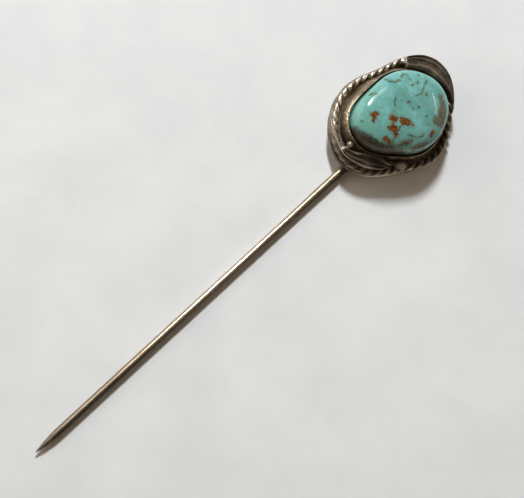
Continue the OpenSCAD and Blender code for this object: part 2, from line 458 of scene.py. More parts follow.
def groove_fill(place, around):
    """How far the grooves between the wires are filled and worn away, 0 to 1: most on the
    outside of the loop's left, where years of handling have smoothed it."""
    left = plateau(place, SMOOTHED_WIRE)[:, None]
    below = swell(place, SMOOTHED_BELOW)[:, None]
    outer = smooth_step(0.0, 0.7, np.cos(around))
    return np.clip(left * (0.15 + 0.85 * outer) + below * (0.7 + 0.3 * outer), 0, 1)


def strand_outline(turn, size, fill, uneven):
    """Outline of a strand about the twisted wire's axis at each ring, outward and up: its
    round lobe, then its flat core."""
    around = turn + LOBE
    shift = size * (0.44 - 0.28 * fill)
    round_r = size * 0.985 - shift
    reach = shift * np.cos(LOBE) + np.sqrt(round_r ** 2 - (shift * np.sin(LOBE)) ** 2)
    reach = reach * (0.98 + uneven)
    half = np.where(CORE > 0, reach[:, -1:], reach[:, :1]) * np.abs(CORE)
    side = turn + np.where(CORE > 0, 1, -1) * pi / 2
    apart = 0.004
    core_out = half * np.cos(side) + apart * np.cos(turn)
    core_up = half * np.sin(side) + apart * np.sin(turn)
    outward = np.concatenate([reach * np.cos(around), core_out], 1)
    up = np.concatenate([reach * np.sin(around), core_up], 1)
    flattened = size * 0.86
    return outward, np.where(up > flattened, flattened + (up - flattened) * 0.55, up)


def strand_wear_and_highlight(place, size, fill, outward, up):
    """Bright on the crests, with highlights painted on the crests' tops along the loop's left and a
    reflection painted along the outer ridges on the right, and dark in the grooves.
    """
    crest = smooth_step(0.62, 0.97, np.hypot(outward, up) / size)
    high = smooth_step(0.3, 0.9, up / size)
    outer = smooth_step(0.35, 0.9, outward / size)
    # Painted highlight: the strands' crests, most of all their tops, are painted bright along the loop's
    # left
    crest_highlight = plateau(place, CREST_HIGHLIGHT_WIRE)[:, None]
    rim_reflection = swell(place, RIM_REFLECTION_WIRE)[:, None]
    ridge = np.append(np.cos(LOBE) ** 6, CORE * 0)
    filled = np.pad(fill, ((0, 0), (0, len(CORE))))
    wear_and_painted_light = 0.12 + 0.04 * filled + crest * (0.24 + crest_highlight * (0.08 + 0.72 * high ** 2))
    # Painted reflection: the outer ridges of the strands on the right are painted bright
    return wear_and_painted_light + 0.75 * ridge * rim_reflection * outer


def build_strand(name, node, start):
    """One of the two wires: half of the twisted pair, its lobe round and its core flat."""
    points, out = rope_frames()
    place, _ = polar(points)
    turn = (start + tau * ROPE_TURNS * np.arange(ROPE_RINGS) / ROPE_RINGS)[:, None]
    fill = groove_fill(place, turn + LOBE)
    size = rope_size(place)[:, None]
    along = np.column_stack([points, np.full(ROPE_RINGS, start)])
    uneven = ripple(along, size=1.5, depth=0.025, seed=4.0)[:, None]
    outward, up = strand_outline(turn, size, fill, uneven)
    flat = points[:, None, :] + out[:, None, :] * (outward + ROPE_R - size)[..., None]
    grid = np.concatenate([off_bezel(flat), (ROPE_H - ROPE_R + size + up)[..., None]], -1)
    verts, faces = ring_mesh(grid)
    wear_and_painted_light = strand_wear_and_highlight(place, size, fill, outward, up)
    return make_piece(name, from_head(verts), faces, [node], wear_and_painted_light)


LEAF_STEPS = 150
LEAF_ACROSS = 40
LEAF_BOTTOM = heights("leaf_lower")[0]
# A leaf's climb from its rim to the bezel, and the height of its stamped pattern
LEAF_RISE = 0.45
LEAF_RELIEF = 0.42
# Where along each leaf its blunt end is, and how far it is turned up, which also scales the highlight
# painted on it
BLUNT_ENDS = {"LeafUpper": (0.975, 0.95), "LeafLower": (0.335, 0.6)}
# The dark hollow of each leaf: its middle and half length along the leaf, then across it
HOLLOWS = {"LeafUpper": (0.87, 0.08, 0.45, 0.3), "LeafLower": (0.70, 0.14, 0.60, 0.24)}


def leaf_span(node):
    """First and last angle of a leaf about the stone's centre, and its highest h."""
    points = to_head(node_points(node))
    angle, _ = polar(points)
    middle = atan2(np.sin(angle).mean(), np.cos(angle).mean())
    gap = angle_gap(angle, middle)
    return middle + gap.min(), middle + gap.max(), points[:, 2].max()


def stamped(x):
    """Height of the stamped pattern across a leaf, from the rim at 0 to the bezel at 1,
    and how worn it is there: a raised rim, then two ribs either side of a hollow."""
    rim = bump(x, 0.06, 0.05)
    outer_rib = bump(x, 0.29, 0.085)
    inner_rib = bump(x, 0.74, 0.13)
    height = 0.8 * rim + 0.55 * outer_rib + 0.9 * inner_rib
    worn = 0.22 + 0.48 * rim + 0.16 * outer_rib + 0.24 * inner_rib
    return height, worn


def lean_in(angle):
    """How far a leaf's inner edge lies up against the bezel's wall."""
    return 0.34 * swell(angle, LEANING_LEAF)


def build_leaf(name, node, width, inset):
    """A leaf: width and inset are functions of t, 0 to 1 along it, counter-clockwise."""
    first, last, top = leaf_span(node)
    t = np.linspace(0, 1, LEAF_STEPS)
    angle = first + (last - first) * t
    outer = rope_line.at(angle, ROPE_R - inset(t))
    inner = stone_line.at(angle, BEZEL_OUT - 0.16 - lean_in(angle))
    near = outer + (inner - outer) * width(t)[:, None]
    x = np.linspace(0, 1, LEAF_ACROSS)
    full = width(t)[:, None]
    height, worn = stamped(np.ones_like(full) * x)
    blunt, turn_up = BLUNT_ENDS[name]
    turned_up = bump(t, blunt, 0.022)[:, None] * turn_up
    middle_t, half_t, middle_x, half_x = HOLLOWS[name]
    hollow = bump(t, middle_t, half_t)[:, None] * bump(x, middle_x, half_x)
    stalk = smooth_step(0.3, 0.15, full)
    height = height * (1 - 0.85 * hollow) + turned_up
    # Painted highlights: the turned-up blunt end and the thin stalk are painted bright through this wear
    # value; the hollow is dark with oxide
    worn = worn * (1 - 0.9 * hollow) + 1.4 * turned_up + 0.8 * stalk
    edge = np.minimum(1, np.minimum(x, 1 - x) * 14) ** 0.5
    body = 0.12 + 0.2 * full + 0.1 * stalk
    up = LEAF_BOTTOM + edge * (body + full ** 0.7 * (LEAF_RISE * x + LEAF_RELIEF * height))
    flat = outer[:, None, :] + (near - outer)[:, None, :] * x[None, :, None]
    top_face = np.concatenate([flat, up[..., None]], -1)
    top_face[..., 2] += ripple(top_face, size=0.8, depth=0.03, seed=7.0) * edge
    top_face[..., 2] = np.minimum(top_face[..., 2], top - 0.005)
    under = top_face[:, ::-1].copy()
    under[..., 2] = LEAF_BOTTOM + 0.04 * (1 - edge[::-1])
    grid = np.concatenate([top_face, under[:, 1:-1]], axis=1)
    wear_and_painted_light = np.concatenate([worn, np.full((LEAF_STEPS, LEAF_ACROSS - 2), 0.1)], axis=1)
    verts, faces = bar_mesh(grid)
    return make_piece(name, from_head(verts), faces, [node], bar_wear_and_painted_light(wear_and_painted_light))


def upper_width(t):
    """Drawn out to a point on the right, full and blunt on the left."""
    return (0.10 + 0.90 * smooth_step(-0.1, 0.5, t)) * (1 - 0.72 * smooth_step(0.93, 1.0, t))


def upper_inset(t):
    """How far the upper leaf's rim lies inside the twisted wire."""
    return 0.28 - 0.24 * smooth_step(0.1, 0.75, t) + 0.6 * smooth_step(0.93, 1.0, t) ** 2


def lower_width(t):
    """A thin stalk from the left, then a blunt end, a full blade and a point on the right."""
    blade = smooth_step(0.29, 0.36, t) * (0.55 + 0.45 * smooth_step(0.38, 0.6, t))
    return 0.14 + 0.86 * blade * (1 - smooth_step(0.78, 1.03, t)) ** 0.8


def lower_inset(t):
    """How far the lower leaf's rim lies inside the twisted wire."""
    return -0.18 + 0.62 * smooth_step(0.0, 0.3, t) + 0.3 * smooth_step(0.35, 0.6, t) + (
        0.3 * smooth_step(0.85, 1.0, t))


ROUND_SIDES = 48


def revolve(name, node, profile, place, axis_turn, shine):
    """A drop or bead: a profile of (along, radius) turned about its long axis, lying on h."""
    around = np.linspace(0, tau, ROUND_SIDES, endpoint=False)
    grid = []
    for along, radius in profile:
        ring = np.column_stack([around * 0 + along, radius * np.cos(around), radius * np.sin(around)])
        grid.append(ring)
    grid = np.array(grid)
    c, s = cos(axis_turn), sin(axis_turn)
    u = grid[..., 0] * c - grid[..., 1] * s + place[0]
    v = grid[..., 0] * s + grid[..., 1] * c + place[1]
    grid = np.stack([u, v, grid[..., 2] + place[2]], -1)
    wear_and_painted_light = shine * smooth_step(-0.5, 0.8, (grid[..., 2] - place[2]) / np.array(profile)[:, 1].max())
    verts, faces = bar_mesh(grid)
    return make_piece(name, from_head(verts), faces, [node], bar_wear_and_painted_light(wear_and_painted_light))


def node_middle(node):
    """The middle of a CAD node's box on the head, and the node's points."""
    points = to_head(node_points(node))
    return (points.min(axis=0) + points.max(axis=0)) / 2, points


def build_raindrop():
    """Teardrop, its round end away from the leaf."""
    middle, points = node_middle("raindrop")
    low = points[:, 2].min()
    flat = points[:, :2] - middle[:2]
    # The second axis is the one it is longest along
    axis = np.linalg.eigh(np.cov(flat.T))[1][:, 1]
    along = flat @ axis
    heavy = points[:, 2].argmax()
    if along[heavy] > 0:
        axis = -axis
        along = -along
    radius = points[:, 2].max() - low
    length = along.max() - along.min()
    start = along.min() + radius
    profile = []
    for k in np.linspace(0.03, 1, 26):
        profile.append((start - radius * cos(k * pi / 2), radius * sin(k * pi / 2)))
    tail = length - radius
    for k in np.linspace(0.04, 0.985, 22):
        profile.append((start + k * tail, radius * (1 - k ** 1.6) ** 0.9))
    turn = atan2(axis[1], axis[0])
    place = (middle[0], middle[1], low + radius * 0.42)
    squeezed = [(a, r * 0.98) for a, r in profile]
    return revolve("Raindrop", "raindrop", squeezed, place, turn, 0.68)


def build_shot_bead():
    """A ball of silver, a little open at its poles."""
    middle, points = node_middle("shot_bead")
    radius = (points[:, 2].max() - points[:, 2].min()) / 2
    t = np.linspace(0.02, 0.98, 30) * pi
    profile = [(-radius * cos(k), radius * sin(k)) for k in t]
    return revolve("ShotBead", "shot_bead", profile, middle, 0.4, 0.75)


STEM_SIDES = 40
# Length of the ground point, and the y at which the wire starts to widen towards the head
POINT_LENGTH = 4.0
WIDENING = -12


def build_stem():
    """Drawn wire with a hand-ground point; its end is filed flat under the plate."""
    low, high = (np.array(c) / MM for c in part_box("stem"))
    radius = -low[0]
    shoulder = low[1] + POINT_LENGTH
    tang = high[1]
    y = np.concatenate([np.linspace(low[1], shoulder, 30)[:-1],
                        np.linspace(shoulder, WIDENING, 90)[:-1],
                        np.linspace(WIDENING, 0, 40)[:-1], np.linspace(0, tang, 24)])
    grind = np.clip((y - low[1]) / POINT_LENGTH, 0, 1)
    r = radius * (0.1 + 0.9 * np.sin(grind * pi / 2) ** 0.85)
    around = np.linspace(0, tau, STEM_SIDES, endpoint=False)
    flatten = smooth_step(WIDENING, 0, y)
    half_x = r * (1 + 0.1 * flatten * (y <= 0))
    grid = np.empty((len(y), STEM_SIDES, 3))
    grid[..., 0] = half_x[:, None] * np.cos(around)
    grid[..., 1] = y[:, None]
    grid[..., 2] = r[:, None] * np.sin(around)
    facets = 0.03 * np.sin(around * 5 + y[:, None] * 0.7) * (1 - grind[:, None])
    grid[..., [0, 2]] *= (1 + facets - 0.03 * (1 - grind[:, None]))[..., None]
    squash = ripple(np.column_stack([y, y * 0, y * 0]), size=5.0, depth=0.02, seed=3.0)
    grid[..., [0, 2]] *= (0.99 - np.abs(squash))[:, None, None]
    filed = smooth_step(-0.4, 0.6, y)[:, None]
    ceiling = plate_bottom - CLEAR
    u, h = to_head(grid.reshape(-1, 3)).T[[0, 2]]
    h = h.reshape(grid.shape[:2])
    u = u.reshape(grid.shape[:2])
    h = np.where(h > ceiling, h + (ceiling - h) * filed, h)
    end = smooth_step(tang - 0.35, tang, y)[:, None]
    u = u * (1 - 0.35 * end ** 2)
    h = h * (1 - 0.35 * end ** 2)
    # Painted highlight: the wire is painted brightest about its middle. Painted shade darkens its side away
    # from the window, except on the point
    wear_and_painted_light = 0.36 + 0.36 * bump(y, -20, 17)
    shaded = 0.45 * smooth_step(-0.1, 0.6, np.cos(around))
    wear_and_painted_light = wear_and_painted_light[:, None] - shaded[None, :] * grind[:, None]
    verts, faces = bar_mesh(np.stack([u, grid[..., 1], h], -1))
    return make_piece("Stem", from_head(verts), faces, ["stem"],
                      bar_wear_and_painted_light(wear_and_painted_light))


def build_solder():
    """Solder that has run along both sides of the stem's end, in uneven hollow fillets."""
    low, high = (np.array(c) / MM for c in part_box("stem_solder"))
    cad = to_head(node_points("stem_solder"))
    side = np.abs(cad[:, 0]).min()
    reach = np.abs(cad[:, 0]).max() - side
    top = cad[:, 2].max()
    arc = np.linspace(0, pi / 2, 9)
    y = np.linspace(low[1], high[1], 90)
    verts, faces, wear_and_painted_light = np.empty((0, 3)), [], np.empty(0)
    for hand in (-1, 1):
        line = np.column_stack([y, y * 0 + 3 * hand, y * 0])
        along = (y - low[1] + 0.3) / (high[1] - low[1] + 0.6)
        ends = np.minimum(1, np.sin(pi * along) * 4) ** 0.5
        size = reach * (0.78 + ripple(line, size=1.4, depth=0.4, seed=2.0)) * ends
        size = np.clip(size, 0.1, reach)
        u = side + size[:, None] * (1 - np.sin(arc))
        h = top - size[:, None] * (1 - np.cos(arc))
        corner = np.column_stack([y * 0 + side, y, y * 0 + top])
        body = np.stack([hand * u, np.repeat(y[:, None], len(arc), 1), h], -1)
        corner[:, 0] *= hand
        grid = np.concatenate([body, corner[:, None, :]], 1)
        new_verts, new_faces = bar_mesh(grid)
        base = len(verts)
        faces += [tuple(i + base for i in f) for f in new_faces]
        verts = np.vstack([verts, new_verts])
        wear_and_painted_light = np.append(wear_and_painted_light, np.full(len(new_verts), 0.3))
    return make_piece("StemSolder", from_head(verts), faces, ["stem_solder"], wear_and_painted_light)


# ---------------------------------------------------------------- materials

class Shader:
    """Short names for the nodes of one material."""

    def __init__(self, name):
        self.material = bpy.data.materials.new(name)
        self.material.use_nodes = True
        self.tree = self.material.node_tree
        self.bsdf = self.tree.nodes["Principled BSDF"]
        place = self.tree.nodes.new("ShaderNodeTexCoord")
        self.mm = self.mapped(place.outputs["Object"], scale=(1 / MM,) * 3,
                              rotation=(0, -ROLL, 0))

    def node(self, kind, **settings):
        """A new node with these properties set."""
        made = self.tree.nodes.new(kind)
        for key, value in settings.items():
            setattr(made, key, value)
        return made

    def feed(self, socket, value):
        """Link the socket to another, or set its value."""
        if isinstance(value, bpy.types.NodeSocket):
            self.tree.links.new(value, socket)
        else:
            socket.default_value = value

    def mapped(self, vector, scale=(1, 1, 1), rotation=(0, 0, 0), location=(0, 0, 0)):
        """The vector scaled, turned and moved."""
        made = self.node("ShaderNodeMapping")
        self.feed(made.inputs["Vector"], vector)
        made.inputs["Scale"].default_value = scale
        made.inputs["Rotation"].default_value = rotation
        made.inputs["Location"].default_value = location
        return made.outputs["Vector"]

    def math(self, operation, a, b, clamp=False):
        made = self.node("ShaderNodeMath", operation=operation, use_clamp=clamp)
        self.feed(made.inputs[0], a)
        self.feed(made.inputs[1], b)
        return made.outputs[0]

    def add(self, a, b, clamp=False):
        return self.math("ADD", a, b, clamp)

    def times(self, a, b):
        return self.math("MULTIPLY", a, b)

    def swing(self, value, depth):
        """A 0 to 1 value as a swing of this depth either side of 0."""
        return self.times(self.math("SUBTRACT", value, 0.5), depth)

    def vector(self, operation, a, b):
        made = self.node("ShaderNodeVectorMath", operation=operation)
        self.feed(made.inputs[0], a)
        self.feed(made.inputs[1], b)
        return made.outputs["Value" if operation == "DISTANCE" else "Vector"]

    def noise(self, scale, detail, rough=0.55, vector=None):
        """A noise from 0 to 1, with scale in waves a millimetre."""
        made = self.node("ShaderNodeTexNoise")
        self.feed(made.inputs["Vector"], vector or self.mm)
        made.inputs["Scale"].default_value = scale
        made.inputs["Detail"].default_value = detail
        made.inputs["Roughness"].default_value = rough
        return made.outputs["Fac"]

    def strayed(self, point, scale, depth):
        """The point, moved about in the head's plane by a coloured noise."""
        made = self.node("ShaderNodeTexNoise")
        self.feed(made.inputs["Vector"], self.mm)
        made.inputs["Scale"].default_value = scale
        made.inputs["Detail"].default_value = 4.0
        stray = self.vector("SUBTRACT", made.outputs["Color"], (0.5, 0.5, 0.5))
        moved = self.vector("ADD", point, self.vector("MULTIPLY", stray, (depth,) * 3))
        return self.vector("MULTIPLY", moved, (1, 1, 0))

    def ramp(self, value, stops):
        """Colour or grey ramp: stops are (position, colour or number)."""
        made = self.node("ShaderNodeValToRGB")
        self.feed(made.inputs["Fac"], value)
        points = made.color_ramp.elements
        while len(points) < len(stops):
            points.new(0.5)
        for point, (at, colour) in zip(points, stops):
            point.position = at
            grey = isinstance(colour, (int, float))
            point.color = (colour,) * 3 + (1,) if grey else tuple(colour) + (1,)
        return made.outputs["Color"]

    def blend(self, factor, a, b, kind="MIX"):
        """Colour a with b laid over it."""
        made = self.node("ShaderNodeMix", data_type="RGBA", blend_type=kind)
        self.feed(made.inputs["Factor"], factor)
        for name, value in (("A", a), ("B", b)):
            socket = [s for s in made.inputs if s.name == name and s.type == "RGBA"][0]
            self.feed(socket, value if isinstance(value, bpy.types.NodeSocket) else (*value, 1))
        return [s for s in made.outputs if s.type == "RGBA"][0]

    def attribute(self, name):
        made = self.node("ShaderNodeAttribute", attribute_name=name)
        return made.outputs["Fac"]

    def bump_from(self, height, distance):
        """Relief in the surface, as deep as distance in millimetres."""
        made = self.node("ShaderNodeBump")
        self.feed(made.inputs["Height"], height)
        made.inputs["Distance"].default_value = distance * MM
        made.inputs["Strength"].default_value = 1.0
        self.feed(self.bsdf.inputs["Normal"], made.outputs["Normal"])

    def surface(self, **values):
        """Set or link the shader's own sockets."""
        names = {"colour": "Base Color", "rough": "Roughness", "metal": "Metallic",
                 "ior": "IOR", "specular": "Specular IOR Level"}
        for key, value in values.items():
            socket = self.bsdf.inputs[names[key]]
            self.feed(socket, value)


OXIDE = (0.030, 0.023, 0.017)
TARNISH = (0.160, 0.128, 0.094)
DULL_SILVER = (0.43, 0.365, 0.275)
BRIGHT_SILVER = (0.88, 0.83, 0.73)
BROWN_TINT = (0.62, 0.45, 0.28)


def silver(name, shine, rough_low, rough_high, grain=1.0, scratch_axis=(1, 1, 1),
           brushed=0.4, warmth=0.35, patchy=1.0):
    """Oxidised silver: black in its grooves, brown-grey on its flats, bright where worn and where
    highlights are painted in through the same per-vertex value, darker where shade is painted in.
    shine raises the whole piece towards bright metal, rough_low is the roughness where it is
    worn and rough_high where it is not, grain the depth of its relief, brushed how far brush
    marks show in the tarnish, warmth how brown that is, and patchy how unevenly it lies."""
    s = Shader(name)
    cloud = s.noise(0.55, 3.0)
    mottle = s.noise(3.2, 5.0, 0.62)
    pits = s.noise(11.0, 3.0, 0.6)
    worn = s.add(s.attribute("wear_and_painted_light"), shine)
    worn = s.add(worn, s.swing(cloud, 0.8 * patchy))
    worn = s.add(worn, s.swing(mottle, 0.7 * patchy))
    scratches = s.noise(9.0, 2.0, 0.5, s.mapped(s.mm, scale=scratch_axis))
    worn = s.add(worn, s.swing(scratches, brushed), clamp=True)
    colour = s.ramp(worn, [(0.0, OXIDE), (0.3, TARNISH), (0.6, DULL_SILVER),
                           (0.95, BRIGHT_SILVER)])
    warm = s.blend(s.times(s.noise(1.4, 2.0), warmth), colour, BROWN_TINT, "MULTIPLY")
    s.surface(colour=warm, metal=s.ramp(worn, [(0.3, 0.35), (0.6, 0.6), (0.85, 0.84)]))
    rough = s.ramp(worn, [(0.0, rough_high), (0.5, (rough_low + rough_high) / 2), (1.0, rough_low)])
    rough = s.add(rough, s.swing(scratches, 0.22))
    s.surface(rough=rough)
    relief = s.add(s.times(mottle, 0.5), s.times(pits, 0.25))
    relief = s.add(relief, s.times(scratches, 0.25))
    s.bump_from(relief, 0.08 * grain)
    return s.material


# Brown matrix in the turquoise, each a rounded bar from one point to another with its
# half width, in millimetres from the stone's centre
MATRIX = [
    ((-2.8, -4.1), (-2.4, -3.6), 0.22), ((-2.5, -4.1), (-2.1, -4.5), 0.20),
    ((-2.7, -3.8), (-2.3, -4.2), 0.18),
    ((-0.7, -2.3), (-0.3, -2.1), 0.36), ((0.4, -1.4), (1.2, -1.1), 0.40),
    ((0.7, -1.6), (1.0, -1.4), 0.28), ((1.5, -0.9), (1.9, -0.7), 0.12),
    ((0.1, -3.5), (0.6, -3.0), 0.32), ((0.9, -3.2), (1.3, -3.5), 0.28),
    ((-0.3, -2.6), (0.2, -3.2), 0.10), ((0.7, -4.9), (1.3, -4.8), 0.30),
    ((4.6, 0.5), (4.5, 1.1), 0.20)]
# Fine dark veins, the same way
VEINS = [
    ((0.9, -2.1), (1.0, -2.9), 0.083), ((1.6, -4.5), (1.5, -3.5), 0.042),
    ((-1.1, 5.1), (-1.0, 4.5), 0.075), ((-1.0, 4.5), (-0.7, 3.9), 0.042),
    ((-0.7, 3.9), (-0.5, 3.2), 0.042), ((-0.5, 3.2), (-0.8, 2.2), 0.050),
    ((-4.9, 0.9), (-4.4, 1.0), 0.115), ((-4.4, 1.0), (-3.9, 1.5), 0.050),
    ((-3.9, 1.5), (-3.7, 2.2), 0.042), ((-3.7, 2.2), (-3.9, 3.1), 0.050),
    ((-3.9, 3.2), (-3.4, 3.5), 0.108), ((-3.0, 3.3), (-2.9, 3.4), 0.066),
    ((2.4, -2.1), (3.3, -1.4), 0.099), ((3.6, -1.0), (3.7, -0.4), 0.083),
    ((2.9, -3.2), (3.3, -2.5), 0.099), ((2.6, -3.9), (3.3, -2.9), 0.066),
    ((-2.6, 0.0), (-1.6, -0.9), 0.026), ((-1.3, -1.3), (-1.1, -1.6), 0.058),
    ((-2.4, 4.9), (-2.4, 4.8), 0.075), ((-1.9, 4.0), (-1.8, 3.9), 0.083),
    ((0.1, 3.8), (0.2, 3.7), 0.115), ((-0.8, 0.9), (-0.7, 1.0), 0.115),
    ((0.2, 0.9), (0.4, 0.8), 0.066), ((0.6, 1.6), (0.7, 1.6), 0.058),
    ((2.2, 1.6), (2.2, 1.7), 0.066), ((-2.1, 2.9), (-2.0, 3.0), 0.058),
    ((-3.1, -5.7), (-3.0, -5.7), 0.050), ((-4.9, -2.3), (-4.6, -1.6), 0.042)]
# Grey-brown host rock along the rim
HOST_ROCK = [
    ((1.8, 5.2), (3.2, 4.3), 0.25), ((3.1, 4.4), (4.0, 3.0), 0.50), ((3.6, 2.5), (4.3, 2.9), 0.40),
    ((5.0, -0.6), (4.4, -2.6), 0.12), ((4.2, -3.6), (3.2, -4.6), 0.25),
    ((2.7, -3.4), (3.3, -2.3), 0.12), ((1.7, -4.9), (2.3, -4.6), 0.10)]
# The nearly black-brown rim at the stone's lower left
DARK_RIM = [
    ((-3.0, -7.1), (-1.4, -7.2), 0.15), ((-1.4, -7.2), (0.0, -6.7), 0.45),
    ((0.0, -6.7), (1.4, -6.0), 0.30), ((1.4, -6.0), (3.6, -4.3), 0.10)]


def bar_distance_group():
    """Node group: distance from a point to the bar from A to B."""
    group = bpy.data.node_groups.new("BarDistance", "ShaderNodeTree")
    for name in ("Point", "A", "B"):
        group.interface.new_socket(name, in_out="INPUT", socket_type="NodeSocketVector")
    group.interface.new_socket("Distance", in_out="OUTPUT", socket_type="NodeSocketFloat")
    given = group.nodes.new("NodeGroupInput")
    result = group.nodes.new("NodeGroupOutput")

    def step(kind, operation, *inputs):
        made = group.nodes.new(kind)
        made.operation = operation
        for socket, value in zip(made.inputs, inputs):
            group.links.new(value, socket)
        return made

    def vector(operation, *inputs):
        return step("ShaderNodeVectorMath", operation, *inputs)

    along = vector("SUBTRACT", given.outputs["B"], given.outputs["A"]).outputs["Vector"]
    offset = vector("SUBTRACT", given.outputs["Point"], given.outputs["A"]).outputs["Vector"]
    over = vector("DOT_PRODUCT", offset, along).outputs["Value"]
    size = vector("DOT_PRODUCT", along, along).outputs["Value"]
    share = step("ShaderNodeMath", "DIVIDE", over, size)
    share.use_clamp = True
    foot = vector("SCALE", along)
    group.links.new(share.outputs[0], foot.inputs["Scale"])
    apart = vector("DISTANCE", offset, foot.outputs["Vector"]).outputs["Value"]
    group.links.new(apart, result.inputs["Distance"])
    return group


def nearest_bar(s, point, bars, group, soft=0.12):
    """Signed distance from point to the nearest of the bars, joined smoothly."""
    nearest = None
    for a, b, half_width in bars:
        bar = s.node("ShaderNodeGroup", node_tree=group)
        s.feed(bar.inputs["Point"], point)
        bar.inputs["A"].default_value = (*a, 0)
        bar.inputs["B"].default_value = (*b, 0)
        away = s.math("SUBTRACT", bar.outputs["Distance"], half_width)
        if nearest is None:
            nearest = away
            continue
        joined = s.node("ShaderNodeMath", operation="SMOOTH_MIN")
        for socket, value in zip(joined.inputs, (nearest, away, soft)):
            s.feed(socket, value)
        nearest = joined.outputs[0]
    return nearest


def turquoise(name):
    """Polished turquoise: clouded blue-green, rust-brown matrix, dark veins, host rock."""
    s = Shader(name)
    group = bar_distance_group()
    flat = s.vector("MULTIPLY", s.vector("SUBTRACT", s.mm, (*CENTRE, 0)), (1, 1, 0))
    ragged = s.strayed(flat, 2.6, 0.75)
    wavy = s.strayed(flat, 1.5, 0.55)
    rough_edge = s.swing(s.noise(7.0, 4.0, 0.65), 0.28)

    cloud = s.noise(0.42, 4.0, 0.55)
    base = s.ramp(cloud, [(0.36, (0.100, 0.345, 0.315)), (0.48, (0.140, 0.420, 0.395)),
                          (0.62, (0.205, 0.520, 0.505))])
    green = s.ramp(s.noise(0.9, 3.0, 0.6), [(0.45, 0.0), (0.72, 0.7)])
    base = s.blend(green, base, (0.125, 0.330, 0.235))
    low_end = s.times(s.vector("DISTANCE", flat, (1.4, 2.6, 0)), 0.1)
    low_end = s.add(low_end, s.times(s.noise(0.8, 3.0), 0.25))
    low_end = s.ramp(low_end, [(0.72, 0.0), (1.0, 0.65)])
    base = s.blend(low_end, base, (0.125, 0.355, 0.250))
    olive = s.ramp(s.noise(1.3, 5.0, 0.7, s.mapped(s.mm, location=(3, 11, 0))), [(0.53, 0.0), (0.68, 0.85)])
    base = s.blend(olive, base, (0.165, 0.250, 0.150))
    speckle = s.ramp(s.noise(6.5, 6.0, 0.7), [(0.38, 0.0), (0.68, 0.4)])
    base = s.blend(speckle, base, (0.300, 0.580, 0.540))
    blue = s.ramp(s.noise(1.6, 3.0, 0.5, s.mapped(s.mm, location=(7, 3, 0))), [(0.56, 0.0), (0.72, 0.6)])
    base = s.blend(blue, base, (0.150, 0.350, 0.430))

    rock_edge = s.swing(s.noise(2.6, 5.0, 0.7), 1.0)
    rock_away = s.add(nearest_bar(s, wavy, HOST_ROCK, group, 0.4), rock_edge)
    rock = s.ramp(rock_away, [(0.0, 0.85), (0.45, 0.0)])
    rock_colour = s.ramp(s.noise(3.4, 5.0, 0.65), [(0.3, (0.050, 0.030, 0.018)),
                                                  (0.5, (0.150, 0.100, 0.062)),
                                                  (0.7, (0.185, 0.185, 0.130))])
    base = s.blend(rock, base, rock_colour)
    rim_edge = s.swing(s.noise(1.8, 5.0, 0.7), 1.5)
    rim_away = s.add(nearest_bar(s, wavy, DARK_RIM, group, 0.4), rim_edge)
    rim = s.ramp(rim_away, [(0.0, 0.97), (0.25, 0.8), (0.55, 0.0)])
    rim_colour = s.ramp(s.noise(2.8, 5.0, 0.65), [(0.35, (0.012, 0.005, 0.003)),
                                                 (0.55, (0.042, 0.018, 0.008)),
                                                 (0.72, (0.115, 0.055, 0.024))])
    base = s.blend(rim, base, rim_colour)

    vein_away = s.add(nearest_bar(s, ragged, VEINS, group, 0.05), s.times(rough_edge, 0.7))
    broken = s.ramp(s.noise(2.0, 4.0, 0.6), [(0.38, 0.25), (0.52, 1.0)])
    stain = s.times(s.ramp(vein_away, [(0.0, 0.6), (0.30, 0.0)]), broken)
    base = s.blend(stain, base, (0.150, 0.235, 0.140))
    vein = s.times(s.ramp(vein_away, [(0.0, 0.85), (0.10, 0.0)]), broken)
    base = s.blend(vein, base, (0.075, 0.062, 0.030))

    flecks = s.node("ShaderNodeTexVoronoi")
    s.feed(flecks.inputs["Vector"], s.mm)
    flecks.inputs["Scale"].default_value = 1.25
    fleck = s.ramp(flecks.outputs["Distance"], [(0.05, 0.6), (0.14, 0.0)])
    base = s.blend(fleck, base, (0.075, 0.110, 0.085))

    away = s.add(nearest_bar(s, ragged, MATRIX, group), rough_edge)
    halo = s.ramp(away, [(0.0, 0.6), (0.35, 0.0)])
    base = s.blend(halo, base, (0.120, 0.190, 0.130))
    matrix = s.ramp(away, [(0.0, 1.0), (0.07, 0.0)])
    rust = s.ramp(s.noise(3.8, 5.0, 0.7), [(0.38, (0.040, 0.012, 0.004)),
                                          (0.50, (0.165, 0.055, 0.012)),
                                          (0.62, (0.310, 0.125, 0.028))])
    base = s.blend(matrix, base, rust)
    s.surface(colour=base, metal=0.0, ior=1.61)
    dullness = s.math("MAXIMUM", s.times(matrix, 0.8), s.times(rock, 0.5))
    dullness = s.math("MAXIMUM", dullness, s.times(rim, 1.6))
    polish = s.times(s.noise(2.2, 4.0), 0.08)
    s.surface(rough=s.add(s.times(dullness, 0.22), s.add(polish, 0.05)))
    relief = s.math("SUBTRACT", s.times(s.noise(1.1, 2.0), 0.5), s.times(matrix, 0.35))
    s.bump_from(relief, 0.035)
    return s.material


def card(name):
    """Plain fibrous card."""
    s = Shader(name)
    fibre = s.noise(14.0, 5.0, 0.7, s.mapped(s.mm, scale=(1, 0.2, 1)))
    s.surface(colour=s.ramp(fibre, [(0.3, (0.40, 0.31, 0.20)), (0.7, (0.62, 0.52, 0.37))]),
              metal=0.0, rough=0.9)
    s.bump_from(fibre, 0.03)
    return s.material


def paper(name):
    """Smooth white paper, faintly mottled."""
    s = Shader(name)
    tone = s.noise(0.09, 4.0, 0.6)
    tooth = s.noise(2.2, 6.0, 0.7)
    colour = s.ramp(tone, [(0.35, (0.80, 0.80, 0.805)), (0.65, (0.86, 0.86, 0.855))])
    s.surface(colour=colour, metal=0.0, rough=0.75, specular=0.2)
    s.bump_from(tooth, 0.012)
    return s.material


# ---------------------------------------------------------------- stage

